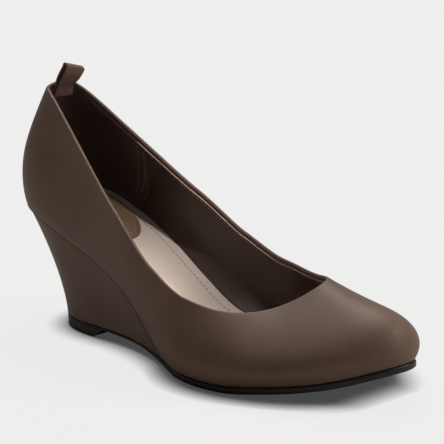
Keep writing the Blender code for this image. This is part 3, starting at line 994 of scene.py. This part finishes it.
def smooth_path(points, count):
    """A line through the points with soft bends."""
    padded = np.vstack([2 * points[0] - points[1], points, 2 * points[-1] - points[-2]])
    at = np.linspace(0, len(points) - 1.0001, count)
    left = at.astype(int)
    t = (at - left)[:, None]
    before, start, end, after = (padded[left + i] for i in range(4))
    bend = 2 * before - 5 * start + 4 * end - after
    twist = 3 * start - before - 3 * end + after
    return 0.5 * (2 * start + (end - before) * t + bend * t**2 + twist * t**3)


def make_pull_loop(finish):
    """The folded tape between its two edges, each of which follows the collar on its own side."""
    places = np.linspace(-2, 2, 401)
    topline_side = topline(places)[:, 1]
    order = np.argsort(topline_side)
    sides = (LOOP_MIDDLE - LOOP_WIDTH / 2, LOOP_MIDDLE + LOOP_WIDTH / 2)
    ends = np.interp(sides, topline_side[order], places[order])
    first, second = (smooth_path(loop_edge(place, rise), 90)
                     for place, rise in zip(ends, (LOOP_RISE, LOOP_RISE - LOOP_DROP)))
    middle = (first + second) / 2
    side = second - first
    width = np.linalg.norm(side, axis=1, keepdims=True)
    side /= width
    run = np.gradient(middle, axis=0)
    out = np.cross(run, side)
    out /= np.linalg.norm(out, axis=1, keepdims=True)
    half = LOOP_TAPE / 2 * 0.9
    columns = []
    for across, (beside, above) in tape_section(14):
        flat = middle + side * (width / 2 - half) * across
        columns.append(flat + side * half * beside + out * half * above)
    rows = np.swapaxes(np.array(columns), 0, 1)
    count = rows.shape[1]
    faces = []
    for row in range(len(rows) - 1):
        faces += band_faces(row * count, count)
    faces.append(tuple(range(count))[::-1])
    faces.append(tuple((len(rows) - 1) * count + i for i in range(count)))
    dress(add_mesh("pull_loop_tape", rows, faces, finish), "loop_leather", "pull_loop")


def tape_section(steps):
    """Section of a flat tape with round edges: share across it, then the place round its edge."""
    section = []
    for face, first, last in ((1.0, 90, -90), (-1.0, 270, 90)):
        section += [(across, (0.0, face)) for across in np.linspace(-face, face, steps)]
        for angle in np.linspace(first, last, 7)[1:-1]:
            turn = math.radians(angle)
            section.append((face, (math.cos(turn), math.sin(turn))))
    return section


# Stage

def make_floor():
    """A pale sheet that glows evenly to the camera, its glow dimmed beside the shoe into a painted
    contact shadow.
    """
    mesh = bpy.data.meshes.new("floor")
    signs = ((-1, -1), (1, -1), (1, 1), (-1, 1))
    corners = [(FLOOR_REACH * x, FLOOR_REACH * y, 0) for x, y in signs]
    mesh.from_pydata(corners, [], [(0, 1, 2, 3)])
    made = bpy.data.materials.new("pale_floor_painted_shadow")
    made.use_nodes = True
    nodes, links = made.node_tree.nodes, made.node_tree.links
    nodes.remove(nodes["Principled BSDF"])
    seen = nodes.new("ShaderNodeBsdfDiffuse")
    set_input(seen, "Color", FLOOR_SEEN)
    shade = nodes.new("ShaderNodeAmbientOcclusion")
    set_input(shade, "Distance", CONTACT_REACH)
    level = nodes.new("ShaderNodeMapRange")
    set_input(level, "From Min", FLOOR_OPEN_FROM)
    set_input(level, "To Min", FLOOR_GLOW[0])
    set_input(level, "To Max", FLOOR_GLOW[1])
    paper = nodes.new("ShaderNodeEmission")
    set_input(paper, "Color", (1.0, 1.0, 1.0, 1.0))
    both = nodes.new("ShaderNodeAddShader")
    bounced = nodes.new("ShaderNodeBsdfDiffuse")
    set_input(bounced, "Color", FLOOR_BOUNCE)
    rays = nodes.new("ShaderNodeLightPath")
    choice = nodes.new("ShaderNodeMixShader")
    # Painted contact shadow: the occlusion test dims the glow where the shoe stands close over the
    # floor.
    links.new(shade.outputs["AO"], level.inputs["Value"])
    links.new(level.outputs["Result"], paper.inputs["Strength"])
    links.new(seen.outputs["BSDF"], both.inputs[0])
    links.new(paper.outputs["Emission"], both.inputs[1])
    links.new(rays.outputs["Is Camera Ray"], choice.inputs["Fac"])
    links.new(bounced.outputs["BSDF"], choice.inputs[1])
    links.new(both.outputs["Shader"], choice.inputs[2])
    links.new(choice.outputs["Shader"], nodes["Material Output"].inputs["Surface"])
    mesh.materials.append(made)
    floor = bpy.data.objects.new("floor", mesh)
    floor.location.z = -FLOOR_DROP
    bpy.context.scene.collection.objects.link(floor)


def camera_axes():
    """The camera's right, up and backward directions."""
    azimuth = math.radians(CAMERA_AZIMUTH)
    elevation = math.radians(CAMERA_ELEVATION)
    roll = math.radians(CAMERA_ROLL)
    flat = math.cos(elevation)
    back = Vector((math.sin(azimuth) * flat, -math.cos(azimuth) * flat, math.sin(elevation)))
    right = Vector((math.cos(azimuth), math.sin(azimuth), 0))
    up = back.cross(right)
    turned_right = right * math.cos(roll) + up * math.sin(roll)
    turned_up = up * math.cos(roll) - right * math.sin(roll)
    return turned_right, turned_up, back


def make_camera():
    right, up, back = camera_axes()
    data = bpy.data.cameras.new("camera")
    data.lens = CAMERA_LENS
    data.sensor_width = CAMERA_SENSOR
    camera = bpy.data.objects.new("camera", data)
    place = Vector(np.array(CAMERA_TARGET) + shoe_place) + back * CAMERA_DISTANCE
    turn = Matrix((right, up, back)).transposed().to_4x4()
    camera.matrix_world = Matrix.Translation(place) @ turn
    bpy.context.scene.collection.objects.link(camera)
    bpy.context.scene.camera = camera


def add_light(data, place, aim):
    """Puts a light at its place, facing aim."""
    light = bpy.data.objects.new(data.name, data)
    light.location = place
    light.rotation_mode = "QUATERNION"
    light.rotation_quaternion = (Vector(aim) - Vector(place)).to_track_quat("-Z", "Y")
    bpy.context.scene.collection.objects.link(light)


def make_light():
    bpy.context.scene.view_settings.view_transform = "Standard"
    world = bpy.data.worlds.new("studio")
    bpy.context.scene.world = world
    world.use_nodes = True
    background = world.node_tree.nodes["Background"]
    set_input(background, "Color", SKY_COLOUR)
    set_input(background, "Strength", SKY_STRENGTH)
    for name, place, power, side, colour in PANELS:
        panel = bpy.data.lights.new(name, "AREA")
        panel.energy = power
        panel.size = side
        panel.color = colour
        add_light(panel, place, PANEL_AIM)
    beam = bpy.data.lights.new("sock_beam", "SPOT")
    beam.energy = BEAM_POWER
    beam.spot_size = math.radians(BEAM_ANGLE)
    beam.spot_blend = 1.0
    beam.shadow_soft_size = BEAM_SOFTNESS
    add_light(beam, BEAM_PLACE, BEAM_AIM)


def make_lining_edges(pale, bound):
    """The lining's raw edge in front, and the bound one round the heel."""
    front = np.linspace(EDGE_START, COUNT - EDGE_START, 240)
    bead = wall_bead("lining_edge", LINING_DROP, COUNTER_DEPTH, LINING_BEAD, pale, front)
    dress(bead, "upper_leather")
    heel = np.linspace(-EDGE_START, EDGE_START, 140)
    drop = LINING_DROP - COUNTER_BEAD_RISE
    bead = wall_bead("counter_edge", drop, LINING_DEPTH, COUNTER_BEAD, bound, heel)
    dress(bead, "upper_leather")


def build():
    finishes = make_finishes()
    make_upper(finishes["taupe"])
    make_lining(finishes["lining"])
    make_lining_edges(finishes["raw_edge"], finishes["taupe"])
    make_counter_lining(finishes["counter"])
    make_lining_stitches(finishes["thread_brown"])
    make_wedge(finishes["taupe"], finishes["seam_painted_shade"])
    make_outsole(finishes["sole"])
    make_top_piece(finishes["sole"])
    make_insole_board(finishes["board"])
    make_insole(finishes["sock"], finishes["thread_dark"])
    make_heel_pad(finishes["pad"], finishes["thread_pale"])
    make_pull_loop(finishes["taupe"])


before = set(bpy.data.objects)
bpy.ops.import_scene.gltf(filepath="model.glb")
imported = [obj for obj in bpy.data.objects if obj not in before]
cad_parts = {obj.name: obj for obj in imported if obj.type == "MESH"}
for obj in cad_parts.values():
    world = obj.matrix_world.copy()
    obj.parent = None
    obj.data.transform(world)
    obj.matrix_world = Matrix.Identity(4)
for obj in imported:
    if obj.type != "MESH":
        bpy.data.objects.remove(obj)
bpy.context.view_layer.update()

# The shoe's place in the frame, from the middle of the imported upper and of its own
outer_face, _ = Wall(around(FINE)).at_length(np.linspace(0, 0.06, 61)[:, None])
upper_low, upper_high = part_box("upper")
own_middle = (outer_face.reshape(-1, 3).min(0) + outer_face.reshape(-1, 3).max(0)) / 2
shoe_place = np.array((upper_low + upper_high) / 2) - own_middle
shoe_place[2] = 0.0

make_camera()
make_light()
make_floor()
build()
bpy.context.view_layer.update()
